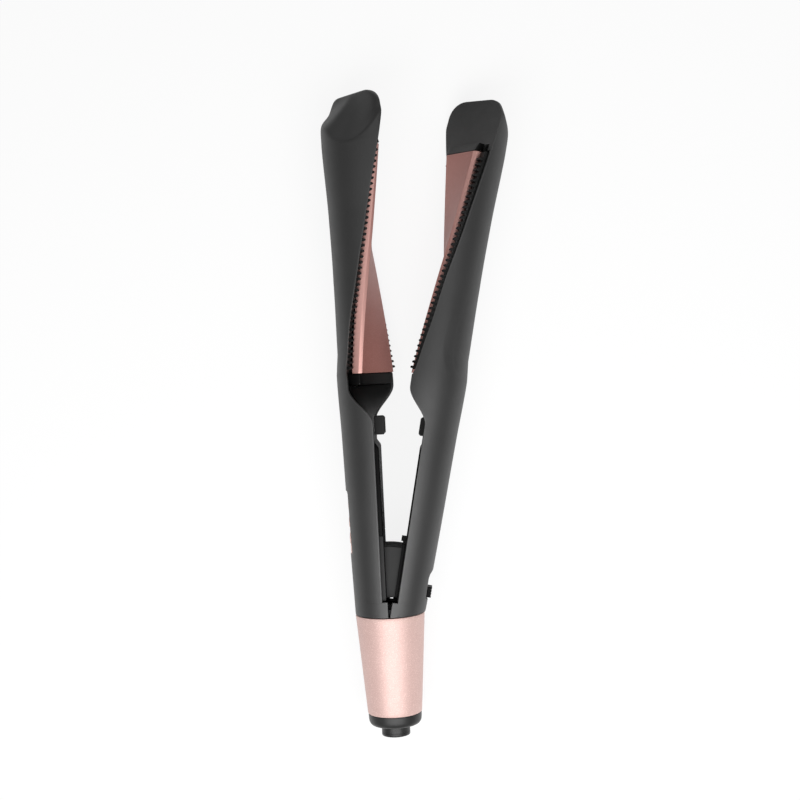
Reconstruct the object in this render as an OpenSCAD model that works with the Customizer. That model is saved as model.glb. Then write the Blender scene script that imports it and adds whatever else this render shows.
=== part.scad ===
// Twisted-plate hair straightener and curler, lying open on a table.
// Two half-barrel arms hinge at the mouth of a tapered tail. The split between them, the heating
// plates and the combs all turn together along the barrel. Lengths are millimetres.
// Each arm is worked out closed, along its own axis: y runs from the hinge line to the tip,
// u is the distance from the axis towards the other arm, v is the distance across the plate.

/* [Arms] */
// Length of each arm from the hinge line to the lower end of the plates
grip_length = 110; // [109:0.5:111]
// Length of the tip, past the upper end of the plates
tip_length = 24.8; // [23.4:0.2:26]
// Angle between the arms at rest, open
open_angle = 11.4; // [10.4:0.2:12.4]
// Barrel radius at the hinge line
root_radius = 15.8; // [15.7:0.05:16]
// Barrel radius in the middle of the grip
grip_radius = 17.1; // [16.9:0.1:17.5]
// Barrel radius at the shoulder just under the plates
shoulder_radius = 19; // [18.9:0.1:19.4]
// Barrel radius at the waist, at the lower part of the plates
waist_radius = 18.15; // [18.1:0.05:18.4]
// Barrel radius at the crest, just under the scooped tip
crest_radius = 20.9; // [20.5:0.1:21.3]
// Wall of the outer shell in the grip
grip_wall = 1.8; // [1.6:0.1:1.9]
// Wall of the outer shell beside the plates
barrel_wall = 1.25; // [1.1:0.05:1.3]
// How far the shell edge stands back from the parting plane in the grip
grip_setback = 2.75; // [2.6:0.05:2.9]
// How far the shell edge stands back from the parting plane beside the plates
barrel_setback = 4.4; // [4.3:0.05:4.5]
// Extra setback of the shell edge beside the lower end of the plates
shoulder_gap = 0.5; // [0:0.1:0.8]
// Height of the two half rings that meet at the foot of the arms
ring_height = 7.3; // [7:0.1:7.4]

/* [Twist] */
// Turn of the parting plane at the lower end of the plates, degrees
twist_start = 33; // [29:1:36]
// Turn lost for each millimetre towards the tip, degrees
twist_rate = 0.585; // [0.53:0.005:0.62]
// Length of the step below the plates in which the parting plane turns
step_length = 16.5; // [15:0.5:18]

/* [Tips] */
// Thickness of the tongue at the very tip
tongue_wall = 2.5; // [2:0.1:3.5]
// Radius of the tongue's corner at the inner side of the arm
inner_corner = 14.5; // [12:0.5:15.5]
// Radius of the tongue's corner at the outer side of the arm
outer_corner = 11; // [9:0.5:13]

/* [Heating plates] */
// Length of each heating plate
plate_length = 102; // [99:0.5:103]
// Width of the flat face of each plate
plate_flat = 24.8; // [24:0.2:25]
// Bevel along both long edges of each plate
plate_bevel = 1.6; // [1.2:0.1:1.8]
// Height of each plate from its face to the foot of its side walls
plate_height = 4.8; // [4.6:0.1:4.9]
// Thickness of the plate's face and side walls
plate_wall = 1.4; // [1.2:0.1:1.6]
// How far each plate can be pressed in on its springs
plate_float = 0.8; // [0.4:0.1:0.9]
// Width of the ceramic heater under each plate
heater_width = 16; // [12:1:20]
// Height of the carrier's end bars along the arm
bar_height = 4.9; // [4.5:0.1:5.2]

/* [Combs] */
// Distance from one comb tooth to the next
comb_pitch = 2.45; // [2.4:0.05:3]
// Height of the teeth above the strip that carries them
tooth_height = 1.6; // [1.2:0.1:1.9]
// How far the strip of the outer side's comb stands above the shell edge
comb_rise = 0.8; // [0.4:0.1:1]
// Share of the pitch that a tooth takes up
tooth_share = 0.5; // [0.4:0.05:0.6]

/* [Inner covers] */
// Distance from the parting plane to the left inner cover in the grip
left_cover_depth = 0.9; // [0.8:0.1:1.2]
// Distance from the parting plane to the right inner cover in the grip
right_cover_depth = 2.2; // [2:0.1:2.4]
// Thickness of the inner covers
cover_wall = 2.2; // [2:0.1:2.4]
// Length of the guide blocks along the arm
block_length = 8.5; // [7:0.5:9]
// Thickness of the guide blocks
block_width = 7.5; // [6.5:0.5:8]
// How far the left guide block reaches past the parting plane
block_reach = 2.2; // [1.6:0.1:2.4]
// How far the right guide block stays short of the parting plane
block_back = 0.6; // [0.4:0.1:1]

/* [Hinge] */
// Radius of the hinge pin
pin_radius = 1.8; // [1.6:0.1:2]
// Radius of the curved top of the web between the arms
web_radius = 31.5; // [30:0.5:32]
// Thickness of the web, across the arms
web_width = 18; // [16:0.5:18.4]
// Radius of the wire of the opening spring
wire_radius = 0.45; // [0.35:0.05:0.5]

/* [Control panel] */
// Distance from the hinge line to the lower end of the panel
panel_start = 28; // [27:0.5:28.5]
// Length of the panel
panel_length = 29; // [28:0.5:31]
// Width of the panel
panel_width = 11.6; // [11.2:0.2:11.8]
// Radius of the power button
power_radius = 3.2; // [2.8:0.1:3.6]
// Radius of the plus and minus buttons
key_radius = 2.6; // [2.2:0.1:2.8]
// Travel of the buttons
button_travel = 0.5; // [0.3:0.05:0.55]

/* [Lock] */
// Length of the lock knob along the arm
knob_length = 4.9; // [4.5:0.1:5.2]
// Travel of the lock
lock_travel = 4; // [3:0.5:4.5]
// Depth of the recess round the lock knob
lock_recess = 0.8; // [0.6:0.1:1]

/* [Tail] */
// Length of the tapered tail sleeve
tail_length = 45.4; // [42:0.2:48]
// Radius of the tail sleeve at its lower end
tail_end_radius = 12.4; // [12.2:0.1:12.8]
// Wall of the tail sleeve
tail_wall = 1.6; // [1.4:0.1:1.7]
// Height of the end cap that shows
cap_height = 5.6; // [5:0.1:6.5]
// Radius of the cord collar
collar_radius = 6.5; // [6.2:0.1:7]
// Length of the cord collar that shows
collar_length = 5; // [4:0.5:8]
// Radius of the hole that takes the cord
cord_radius = 3.3; // [2.8:0.1:3.8]
// Depth of the hole that takes the cord
cord_depth = 9; // [7:0.5:10]

/* [Fits] */
// Radial clearance of turning and sliding fits
running_gap = 0.05; // [0.03:0.01:0.08]
// Gap between pieces that are fixed together
seat_gap = 0.1; // [0.05:0.01:0.12]

/* [Hidden] */
$fn = 48;
plate_start = grip_length;
plate_end = plate_start + plate_length;
plate_half = plate_flat / 2 + plate_bevel;
arm_length = plate_end + tip_length;
scoop_start = plate_end + 0.6;
scoop_height = arm_length - scoop_start;
nose_start = scoop_start - 0.1;
bar_low = plate_start - 0.3 - bar_height;
step_end = plate_start - 6;
twist_from = step_end - step_length;
block_start = twist_from - 5.5;
cover_start = web_radius + 5.7;
cover_end = bar_low - 0.5;
sill = ring_height + 0.3;
seam = 0.3;
carrier_top = plate_height + plate_float + 0.45;
carrier_foot = carrier_top + 3.45;
comb_foot = carrier_top - 0.05;
comb_in = plate_half + 0.1 + plate_float * sin(plate_length * twist_rate / 2);
tail_in_mouth = root_radius - tail_wall;
tail_taper = (root_radius - tail_end_radius) / tail_length;
lock_floor = root_radius - lock_recess;
knob_start = ring_height + 2.6;
knob_end = knob_start + knob_length;
lift = crest_radius - 0.34;
x_mid = (sin(open_angle) * (arm_length - 15) + crest_radius * (cos(open_angle) - 1)) / 2;
y_mid = (arm_length - tail_length - cap_height - collar_length) / 2;

black = [0.09, 0.09, 0.09];
graphite = [0.25, 0.25, 0.26];
rose = [0.86, 0.68, 0.64];
steel = [0.7, 0.7, 0.72];

function smooth(t) = t <= 0 ? 0 : t >= 1 ? 1 : t * t * (3 - 2 * t);
function mix(a, b, t) = a + (b - a) * t;

// Turn of the parting plane at a distance s from the hinge line.
function turn(s) = s < plate_start
    ? twist_start * smooth((s - twist_from) / (step_end - twist_from))
    : twist_start - twist_rate * (s - plate_start) + sway(s);

// The turn is a little slower at both ends of the plates than in their middle.
function sway(s) = lookup(s - plate_start, [[0, 0], [18, 1], [42, 0], [68, -2], [90, -2], [127, -1]]);

function setback(s) = mix(grip_setback, barrel_setback, smooth((s - 86) / 18))
    + shoulder_gap * smooth((s - 106) / 8) * (1 - smooth((s - 130) / 26));
function wall(s) = mix(grip_wall, barrel_wall, smooth((s - 86) / 18));

// Radius of the barrel without the dip beside the shoulder.
function barrel(s) = lookup(s, [
    [0, root_radius],
    [42, grip_radius],
    [84, mix(grip_radius, shoulder_radius, 0.55)],
    [109.5, shoulder_radius],
    [119, shoulder_radius - 0.1],
    [152, waist_radius + 0.2],
    [180, mix(waist_radius, crest_radius, 0.3)],
    [223, crest_radius],
    [240, crest_radius]
]);

// Depth of the dip, which starts in a crease at the shoulder and fades out along the plates.
function dip(s) = s < 109.5 ? 0
    : s < 119 ? (s - 109.5) / 9.5
    : s < 152 ? 1 - (s - 119) / 33
    : 0;
function dip_edge(s) = lookup(s, [[109.5, 50], [116, 79], [126, 87], [152, 70]]);
function radius(s, b) = barrel(s)
    - (shoulder_radius - 0.1 - waist_radius) * dip(s) * max(0, min(1, (dip_edge(s) - turn(s) + b) / 22));

// A point of a section, from its distances u and v, at the turn of that section.
function spot(u, v, s) = [u * cos(turn(s)) - v * sin(turn(s)), s, u * sin(turn(s)) + v * cos(turn(s))];

// Length of the ray at angle b from the middle of the chord at depth c to a circle of radius r.
function ray(b, c, r) = -c * cos(b) + sqrt(r * r - pow(c * sin(b), 2));

// The scoop at the tip starts in a curved crease, lowest on the near side, and thins the tip to a tongue.
function crease(b) = arm_length - scoop_height * lookup(b, [
    [-90, 0.18], [-60, 0.43], [-29, 0.63], [-7, 0.7], [10, 0.85], [30, 0.96],
    [50, 1], [63, 0.94], [70, 0.86], [80, 0.68], [90, 0.5]
]);
function scooped(s, b) = s <= crease(b) ? 0 : 1 - pow((arm_length - s) / (arm_length - crease(b)), 1.13);
function tongue_half(s, r, draft) = let (w = sqrt(pow(barrel(s), 2) - pow(barrel_setback, 2)) - draft,
        d = s - (arm_length - r))
    w - r + sqrt(max(0, r * r - pow(max(0, d), 2)));
function tongue_edge(s, b) = b < 0
    ? tongue_half(s, outer_corner, 0)
    : tongue_half(s, inner_corner, 0.5 * smooth((s - scoop_start) / 12));
function outline(b, c, s) = let (full = ray(b, c, radius(s, b)),
        thin = min(full, tongue_wall / max(cos(b), 0.01)))
    min(mix(full, thin, scooped(s, b)), s <= crease(b) || abs(b) < 1 ? 1000 : tongue_edge(s, b) / abs(sin(b)));

rays = [for (i = [0:16]) -90 + i * 180 / 16];

// One hollow section of an outer shell: out along the outside, back along the inside.
function shell_ring(s, c) = concat(
    [for (b = rays) let (d = outline(b, c, s)) spot(-c - d * cos(b), d * sin(b), s)],
    [for (i = [16:-1:0]) let (b = rays[i], d = ray(b, c, radius(s, b) - wall(s)))
        spot(-c - d * cos(b), d * sin(b), s)]);

// One solid section of the tip. Each ray has its own place along the arm, so that a section can
// follow the crease of the scoop.
function tip_ring(places) = let (c = barrel_setback,
        far = outline(-90, c, places[0]) - 0.3,
        near = outline(90, c, places[16]) - 0.3) concat(
    [for (i = [0:16]) let (b = rays[i], d = outline(b, c, places[i]))
        spot(-c - d * cos(b), d * sin(b), places[i])],
    [for (i = [16:-1:0]) spot(-c, mix(-far, near, (1 + sin(rays[i])) / 2), places[i])]);

// Closes a list of sections into a solid. Hollow sections are closed by strips from side to side.
module loft(rings, strips = false) {
    n = len(rings);
    m = len(rings[0]);
    top = (n - 1) * m;
    sides = [for (i = [0:n - 2]) for (j = [0:m - 1]) let (k = (j + 1) % m, a = i * m, b = (i + 1) * m)
        each [[a + j, b + j, b + k], [a + j, b + k, a + k]]];
    ends = strips
        ? [for (j = [0:m / 2 - 2]) each [
            [j, j + 1, m - 2 - j],
            [j, m - 2 - j, m - 1 - j],
            [top + j, top + m - 2 - j, top + j + 1],
            [top + j, top + m - 1 - j, top + m - 2 - j]]]
        : [for (j = [1:m - 2]) each [[0, j, j + 1], [top, top + j + 1, top + j]]];
    polyhedron(points = [for (r = rings) each r], faces = concat(sides, ends));
}

// Moves the finished pieces so that the object stands centred on the ground.
module stand() {
    translate([-x_mid, -y_mid, lift]) children();
}

// The right arm is the left one turned half round the axis, then swung open on the hinge.
module right() {
    rotate([0, 0, -open_angle]) rotate([0, 180, 0]) children();
}

// For right-hand pieces drawn in their own place beside the axis.
module swung() {
    rotate([0, 0, -open_angle]) children();
}

module along(r, from, to, x = 0, z = 0) {
    translate([x, from, z]) rotate([-90, 0, 0]) cylinder(h = to - from, r = r);
}

module across(r, from, to, y = 0, z = 0) {
    translate([from, y, z]) rotate([0, 90, 0]) cylinder(h = to - from, r = r);
}

module upright(r, from, to, x = 0, y = 0) {
    translate([x, y, from]) cylinder(h = to - from, r = r);
}

module slab(x0, x1, y0, y1, z0, z1) {
    translate([x0, y0, z0]) cube([x1 - x0, y1 - y0, z1 - z0]);
}

turn_stations = [for (i = [1:8]) mix(twist_from, step_end, i / 8)];
stations = concat([42, 84, twist_from], turn_stations, [107, 109.5, 112, 115, 119],
    [for (i = [1:13]) mix(119, nose_start, i / 13)]);
tip_steps = [0.1, 0.22, 0.36, 0.5, 0.64, 0.76, 0.86, 0.93, 0.98, 1];

// The foot of the right shell is cut level with the tail while the arm stands open.
function level(p) = [p[0], max(p[1], (seam - p[0] * sin(open_angle)) / cos(open_angle)), p[2]];
function foot(s, cut) = [for (p = shell_ring(s, seam)) cut ? level(p) : p];

// Places one of the arm's own upright boxes, given by u, s and v, at the turn of the parting plane at s.
module turned(s, u0, u1, s0, s1, v0, v1) {
    rotate([0, -turn(s), 0]) slab(u0, u1, s0, s1, v0, v1);
}

module arm_shell(cut) {
    difference() {
        loft(concat(
            [foot(seam, cut), foot(ring_height - 2.4, cut), foot(ring_height, false)],
            [shell_ring(ring_height + 0.05, grip_setback)],
            [for (s = stations) shell_ring(s, setback(s))],
            [tip_ring([for (b = rays) nose_start + 0.05])],
            [for (k = [0.5, 1]) tip_ring([for (b = rays) mix(nose_start + 0.05, crease(b), k)])],
            [for (k = tip_steps) tip_ring([for (b = rays) mix(crease(b), arm_length, k)])]), true);
        for (v = [-1, 1]) {
            turned(nose_start, -8, -barrel_setback + 0.4, nose_start - 0.2, plate_end + 3.6,
                v > 0 ? plate_half + 0.4 : -17.2, v > 0 ? 17.2 : -plate_half - 0.4);
        }
    }
}

module left_outer_shell() {
    color(graphite) stand() difference() {
        arm_shell(false);
        slab(-barrel(panel_end) - 1, -panel_back + 6, panel_start, panel_end, -panel_width / 2, panel_width / 2);
    }
}

module right_outer_shell() {
    color(graphite) stand() difference() {
        right() arm_shell(true);
        swung() translate([0, 0, -8]) linear_extrude(16) polygon([
            [lock_floor, knob_start - 0.4],
            [lock_floor, knob_end + lock_travel + 0.4],
            [lock_floor + 0.4, knob_end + lock_travel + 2.2],
            [lock_floor + 2, knob_end + lock_travel + 4.8],
            [lock_floor + 2, knob_start - 2]
        ]);
        swung() slab(10, 20, knob_start + 0.8, knob_end - 0.8 + lock_travel, -1.9, 1.9);
    }
}

dent_start = block_start - 6;
dent_end = block_start - 2.5;
cover_stations = concat([cover_start, dent_start, dent_end, block_start + 2, twist_from], turn_stations, [cover_end]);
// Points of a section in a row across it, at depth u, from one side to the other.
function row(u, from, to, steps, s) = [for (i = [0:steps]) spot(u, mix(from, to, i / steps), s)];
function cover_ring(s, t) = let (f = t + cover_wall,
        w = sqrt(pow(barrel(s) - wall(s) - 0.15, 2) - f * f))
    concat(row(-f, -w, w, 4, s), row(-t, w, -w, 4, s));
function cover_depth(s, grip, dent) = s <= dent_start ? grip
    : s < dent_end ? mix(grip, dent, (s - dent_start) / (dent_end - dent_start))
    : mix(dent, 4.2, (s - dent_end) / (cover_end - dent_end));
left_dent = 2.7;
right_dent = 3.5;

module cover(grip, dent) {
    loft([for (s = cover_stations) cover_ring(s, cover_depth(s, grip, dent))], true);
}

screw_places = [cover_start + 8.8, block_start - 12];

module screw_holes(grip) {
    for (y = screw_places) {
        across(1, -grip - 4, 0, y);
        across(2.1, -grip - 1.3, 0, y);
    }
}

module screws(grip) {
    for (y = screw_places) {
        across(0.9, -8.4, -grip - 1.2, y);
        difference() {
            across(1.95, -grip - 1.25, -grip - 0.1, y);
            slab(-grip - 0.7, 0, y - 1.3, y + 1.3, -0.25, 0.25);
            slab(-grip - 0.7, 0, y - 0.25, y + 0.25, -1.3, 1.3);
        }
    }
}

module left_inner_cover() {
    color(black) stand() difference() {
        cover(left_cover_depth, left_dent);
        screw_holes(left_cover_depth);
    }
}

module right_inner_cover() {
    color(black) stand() right() difference() {
        cover(right_cover_depth, right_dent);
        screw_holes(right_cover_depth);
    }
}

module left_cover_screws() {
    color(steel) stand() screws(left_cover_depth);
}

module right_cover_screws() {
    color(steel) stand() right() screws(right_cover_depth);
}

module guide_block(dent, reach) {
    y0 = block_start;
    y1 = block_start + block_length;
    difference() {
        slab(-dent + 0.1, reach, y0, y1, 1.5, 1.5 + block_width);
        for (y = [y0 - 0.01, y1 + 0.01]) {
            translate([reach, y, 0]) rotate([0, 0, 45]) cube([1.2, 1.2, 40], center = true);
        }
    }
}

module left_guide_block() {
    color(graphite) stand() guide_block(left_dent, block_reach);
}

module right_guide_block() {
    color(graphite) stand() right() guide_block(right_dent, -block_back);
}

// The carrier fills the barrel behind the plate and closes both of its ends with a bar.
function carrier_ring(s, top, foot, outer, inner) = concat(
    row(-foot, -min(outer, 13.6), min(inner, 13.6), 4, s),
    row(-top, inner, -outer, 4, s));
carrier_mid = [for (i = [0:15]) mix(plate_start - 0.25, plate_end + 0.25, i / 15)];
bar_inner = plate_half - 0.2;
bar_outer = plate_half - 1.2;

module carrier() {
    loft(concat(
        [for (s = [bar_low, plate_start - 0.3]) carrier_ring(s, 0.6, carrier_foot, bar_outer, bar_inner)],
        [for (s = carrier_mid) carrier_ring(s, carrier_top, carrier_foot, 15.3, 15.3)],
        [for (s = [plate_end + 0.3, nose_start - 0.15]) carrier_ring(s, 0.6, carrier_foot, bar_outer, bar_inner)],
        [for (s = [nose_start - 0.1, plate_end + 4])
            carrier_ring(s, 0.6 + (s - nose_start + 0.1) * 0.4, barrel_setback - 0.05, bar_outer, bar_inner)]), true);
}

module left_carrier() {
    color(black) stand() carrier();
}

module right_carrier() {
    color(black) stand() right() carrier();
}

teeth = floor((plate_length - 2) / comb_pitch);
comb_start = plate_start + (plate_length - teeth * comb_pitch) / 2;
function comb_out(s, u) = sqrt(pow(barrel(s) - (shoulder_radius - 0.1 - waist_radius) * dip(s)
    - wall(s) - 0.15, 2) - u * u);
// The strip is level with the shell edge on the inner side, and stands above it on the outer side.
function comb_low(s, side) = side > 0 ? setback(s) - 0.05 : barrel_setback - comb_rise;
function comb_ring(s, height, side) = let (top = comb_low(s, side) - height,
        a = comb_out(s, barrel_setback), b = comb_out(s, comb_foot))
    side > 0
        ? [spot(-top, comb_in, s), spot(-comb_foot, comb_in, s), spot(-comb_foot, b, s), spot(-top, a, s)]
        : [spot(-top, -a, s), spot(-comb_foot, -b, s), spot(-comb_foot, -comb_in, s), spot(-top, -comb_in, s)];

module comb(side) {
    loft(concat(
        [comb_ring(comb_start - 0.4, 0, side)],
        [for (i = [0:teeth - 1]) let (y = comb_start + i * comb_pitch, w = comb_pitch * tooth_share) each [
            comb_ring(y, 0, side),
            comb_ring(y + 0.05, tooth_height, side),
            comb_ring(y + w - 0.05, tooth_height, side),
            comb_ring(y + w, 0, side)]],
        [comb_ring(plate_end - 0.3, 0, side)]));
}

module left_near_comb() {
    color(black) stand() comb(1);
}

module left_far_comb() {
    color(black) stand() comb(-1);
}

module right_near_comb() {
    color(black) stand() right() comb(-1);
}

module right_far_comb() {
    color(black) stand() right() comb(1);
}

// The plate is a channel: a flat face with a bevel and a side wall along both edges.
function plate_ring(s) = let (h = plate_half, k = plate_wall, f = plate_flat / 2) concat(
    [spot(-plate_height, -h + k, s), spot(-plate_bevel - k, -h + k, s)],
    row(-0.1 - k, -f + k, f - k, 4, s),
    [spot(-plate_bevel - k, h - k, s), spot(-plate_height, h - k, s)],
    [spot(-plate_height, h, s), spot(-plate_bevel - 0.1, h, s)],
    row(-0.1, f, -f, 4, s),
    [spot(-plate_bevel - 0.1, -h, s), spot(-plate_height, -h, s)]);
plate_rows = [for (i = [0:17]) mix(plate_start, plate_end, i / 17)];

module heating_plate() {
    loft([for (s = plate_rows) plate_ring(s)], true);
}

module left_heating_plate() {
    color(rose) stand() heating_plate();
}

module right_heating_plate() {
    color(rose) stand() right() heating_plate();
}

heater_top = plate_wall + 0.3;
heater_foot = heater_top + 2;
heater_rows = [for (i = [0:12]) mix(plate_start + 3, plate_end - 3, i / 12)];

module heater() {
    w = heater_width / 2;
    loft([for (s = heater_rows) concat(row(-heater_foot, -w, w, 3, s), row(-heater_top, w, -w, 3, s))], true);
}

module left_heater() {
    color([0.85, 0.83, 0.78]) stand() heater();
}

module right_heater() {
    color([0.85, 0.83, 0.78]) stand() right() heater();
}

module stop_pads() {
    for (s = [plate_start + 16, plate_end - 22]) {
        loft([for (i = [0:2]) let (y = s + 3 * i)
            concat(row(-carrier_top + 0.1, -5, 5, 1, y), row(-heater_foot - plate_float - 0.15, 5, -5, 1, y))]);
    }
}

module left_stop_pads() {
    color([0.75, 0.3, 0.2]) stand() stop_pads();
}

module right_stop_pads() {
    color([0.75, 0.3, 0.2]) stand() right() stop_pads();
}

module leads(from) {
    for (z = [-2, 2]) {
        along(0.9, from, bar_low - 0.2, -carrier_foot - 1.1, z);
    }
}

module left_heater_leads() {
    color([0.8, 0.8, 0.78]) stand() leads(board_end + 0.1);
}

module right_heater_leads() {
    color([0.8, 0.8, 0.78]) stand() right() leads(spine_end + 0.1);
}

// The web closes the foot of the gap between the arms and slides into the right arm.
web_in = 4;
function foot_half(depth) = sqrt(pow(root_radius - grip_wall - 0.1, 2) - pow(depth + cover_wall, 2));

module hinge_web() {
    color(graphite) stand() {
        half = foot_half(left_cover_depth);
        slab(-left_cover_depth - cover_wall, -left_cover_depth, sill, cover_start - 0.3, -half, half);
        intersection() {
            upright(web_radius, -web_width / 2, web_width / 2);
            slab(-left_cover_depth - 0.5, 20, sill + 0.7, 2 * web_radius, -web_width / 2, web_width / 2);
            swung() slab(-20, web_in, -5, 2 * web_radius, -web_width / 2, web_width / 2);
        }
    }
}

module slot_frame() {
    half = web_width / 2 + 0.3;
    edge = foot_half(right_cover_depth);
    d = right_cover_depth;
    color(black) stand() swung() {
        difference() {
            slab(d, d + cover_wall, sill, cover_start - 0.3, -edge, edge);
            slab(0, 10, 0, web_radius + 0.5, -half, half);
        }
        for (side = [-1, 1]) {
            slab(d - 1.3, d, 9, web_radius + 2, side > 0 ? half : -half - 1.8, side > 0 ? half + 1.8 : -half);
        }
        slab(d - 1.3, d, web_radius + 0.5, web_radius + 2, -half - 1.8, half + 1.8);
        slab(d - 2.1, d, web_radius + 3.2, web_radius + 5.2, 6, 11.5);
    }
}

cheek_in = 5.2;
cheek_out = 8.5;
block_side = -left_cover_depth - cover_wall - 0.3;
frame_back = sqrt(pow(tail_in_mouth - 0.75, 2) - cheek_out * cheek_out);
neck_back = sqrt(pow(tail_in_mouth - tail_taper * 13 - 0.15, 2) - cheek_out * cheek_out);

module left_frame() {
    color(black) stand() difference() {
        union() {
            slab(-frame_back, block_side, 1.5, 23, -cheek_out, cheek_out);
            for (side = [-1, 1]) {
                z0 = side > 0 ? cheek_in : -cheek_out;
                slab(-frame_back, 0, -6, 5.5, z0, z0 + cheek_out - cheek_in);
                upright(5, z0, z0 + cheek_out - cheek_in);
                slab(-5, 5, -6, 0, z0, z0 + cheek_out - cheek_in);
            }
            slab(-neck_back, 5, -13, -5.6, -cheek_out, cheek_out);
            along(tail_in_mouth - tail_taper * 17 - seat_gap, -17, -11);
            slab(-board_back + 0.1, -board_back + 1.8, 22, screw_places[1] + 3, -6, 6);
        }
        upright(pin_radius + running_gap / 2, -20, 20);
        upright(lug_radius + 0.4, -cheek_in, cheek_in);
        for (y = screw_places) {
            across(0.95, -10, -7, y);
        }
        along(3, -20, -10, -2);
    }
}

lug_radius = 4.8;

module right_frame() {
    color(black) stand() swung() difference() {
        union() {
            upright(lug_radius, -4.9, 4.9);
            slab(0, 12.5, -1, lug_radius, -4.9, 4.9);
            slab(10.9, 12.9, 3, ring_height + 0.4, -4.9, 4.9);
        }
        upright(pin_radius + running_gap, -10, 10);
        upright(lug_radius + 1, -2.7, 2.7);
        slab(-6, 6, -6, 6, -2.7, 2.7);
    }
}

module hinge_pin() {
    color(steel) stand() {
        upright(pin_radius, -9, 9);
        upright(pin_radius + 0.9, cheek_out + 0.05, cheek_out + 1);
        upright(pin_radius + 0.9, -cheek_out - 1, -cheek_out - 0.05);
    }
}

coil = pin_radius + 1.1;

module opening_spring() {
    w = wire_radius;
    color(steel) stand() {
        rotate_extrude() for (i = [-1.5:1:1.5]) {
            translate([coil, i * w * 1.9]) circle(r = w);
        }
        along(w * 0.85, 0.3, 6.3, -coil, -w * 2.85);
        swung() across(w * 0.85, 0.3, 4.9, coil, w * 2.85);
    }
}

panel_face = sqrt(pow(barrel(panel_start + panel_length / 2), 2) - pow(panel_width / 2, 2));
panel_back = panel_face - 1.6;
panel_end = panel_start + panel_length;
key_places = [panel_start + 7, panel_start + 9.3 + 2 * key_radius];
power_place = panel_end - 6;
lamp_place = (key_places[1] + key_radius + power_place - power_radius) / 2;
switch_top = panel_back - 1.35 - button_travel;
board_face = switch_top - 1.95;
board_back = board_face - 1.5;
board_end = panel_end + 5;

module control_panel() {
    e = seat_gap;
    color(rose) stand() difference() {
        slab(-panel_face, -panel_back, panel_start + e, panel_end - e,
            -panel_width / 2 + e, panel_width / 2 - e);
        for (y = key_places) {
            across(key_radius + running_gap, -30, 0, y);
        }
        across(power_radius + running_gap, -30, 0, power_place);
        across(0.8, -30, 0, lamp_place);
    }
}

module button(r, y) {
    across(r, -panel_face - 0.5, -panel_back + 0.2, y);
    across(r + 0.8, -panel_back + 0.1, -panel_back + 0.8, y);
    across(1.2, -panel_back + 0.7, -panel_back + 1.3, y);
}

module power_button() {
    color(rose) stand() button(power_radius, power_place);
}

module minus_button() {
    color(rose) stand() button(key_radius, key_places[0]);
}

module plus_button() {
    color(rose) stand() button(key_radius, key_places[1]);
}

module indicator_lens() {
    color([0.9, 0.95, 1]) stand() {
        across(0.75, -panel_face, -panel_back, lamp_place);
        across(0.4, -panel_back - 0.05, -switch_top + 1.3, lamp_place);
    }
}

module switches() {
    color([0.2, 0.2, 0.2]) stand() for (y = [key_places[0], key_places[1], power_place]) {
        slab(-switch_top + 0.5, -board_face - 0.05, y - 2.2, y + 2.2, -2.2, 2.2);
        across(0.8, -switch_top, -switch_top + 0.6, y);
    }
}

module control_board() {
    color([0.1, 0.35, 0.2]) stand() {
        slab(-board_face, -board_back, panel_start - 3, board_end, -7.5, 7.5);
        slab(-board_face - 1.2, -board_face + 0.1, panel_start - 1, panel_start + 2, -6, -1);
        slab(-board_face - 1.2, -board_face + 0.1, panel_end, panel_end + 3, 1, 6);
    }
}

spine_bar = 4;
spine_end = block_start - spine_bar;
spine_face = right_cover_depth + cover_wall + 1.8;

module right_spine() {
    low = web_radius + 1.5;
    color(black) stand() swung() difference() {
        union() {
            slab(spine_face, spine_face + 3.4, low, spine_end, -spine_bar, spine_bar);
            slab(spine_face, spine_face + 1.8, low, low + spine_bar, -11.8, 11.8);
            slab(spine_face, spine_face + 1.8, spine_end - spine_bar, spine_end, -13.6, 13.6);
        }
        for (y = screw_places) {
            across(0.95, spine_face - 1, spine_face + 2.7, y);
        }
    }
}

module lock_slider() {
    y0 = knob_start;
    y1 = knob_end;
    color(black) stand() swung() {
        difference() {
            slab(lock_floor + running_gap, lock_floor + 2.2, y0, y1, -3.2, 3.2);
            for (y = [y0 + 1.1 : 1.3 : y1 - 0.6]) {
                slab(lock_floor + 1.7, lock_floor + 3, y - 0.3, y + 0.3, -4, 4);
            }
        }
        slab(lock_floor - 2, lock_floor + 0.2, y0 + 1, y1 - 1, -1.7, 1.7);
        slab(lock_floor - 3, lock_floor - 1.9, y0 - 1, y1 + 1.2, -4.4, 4.4);
    }
}

module tail_sleeve() {
    color(rose) stand() difference() {
        translate([0, -tail_length, 0]) rotate([-90, 0, 0])
            cylinder(h = tail_length - 0.1, r1 = tail_end_radius, r2 = root_radius - tail_taper * 0.1);
        translate([0, -tail_length - 0.5, 0]) rotate([-90, 0, 0])
            cylinder(h = tail_length + 1, r1 = tail_end_radius - tail_wall - tail_taper * 0.5,
                r2 = tail_in_mouth + tail_taper * 0.5);
    }
}

module end_cap() {
    r = tail_end_radius - 0.2;
    h = cap_height;
    color(graphite) stand() translate([0, -tail_length - 0.1, 0]) rotate([90, 0, 0]) rotate_extrude() polygon([
        [collar_radius - 1 + running_gap, -4.4],
        [tail_end_radius - tail_wall - seat_gap, -4.4],
        [tail_end_radius - tail_wall - seat_gap, 0],
        [r, 0],
        [r - 0.1, h * 0.55],
        [r - 0.5, h * 0.8],
        [r - 1.2, h * 0.93],
        [r - 2.2, h - 0.1],
        [collar_radius - 1 + running_gap, h - 0.1]
    ]);
}

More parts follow.
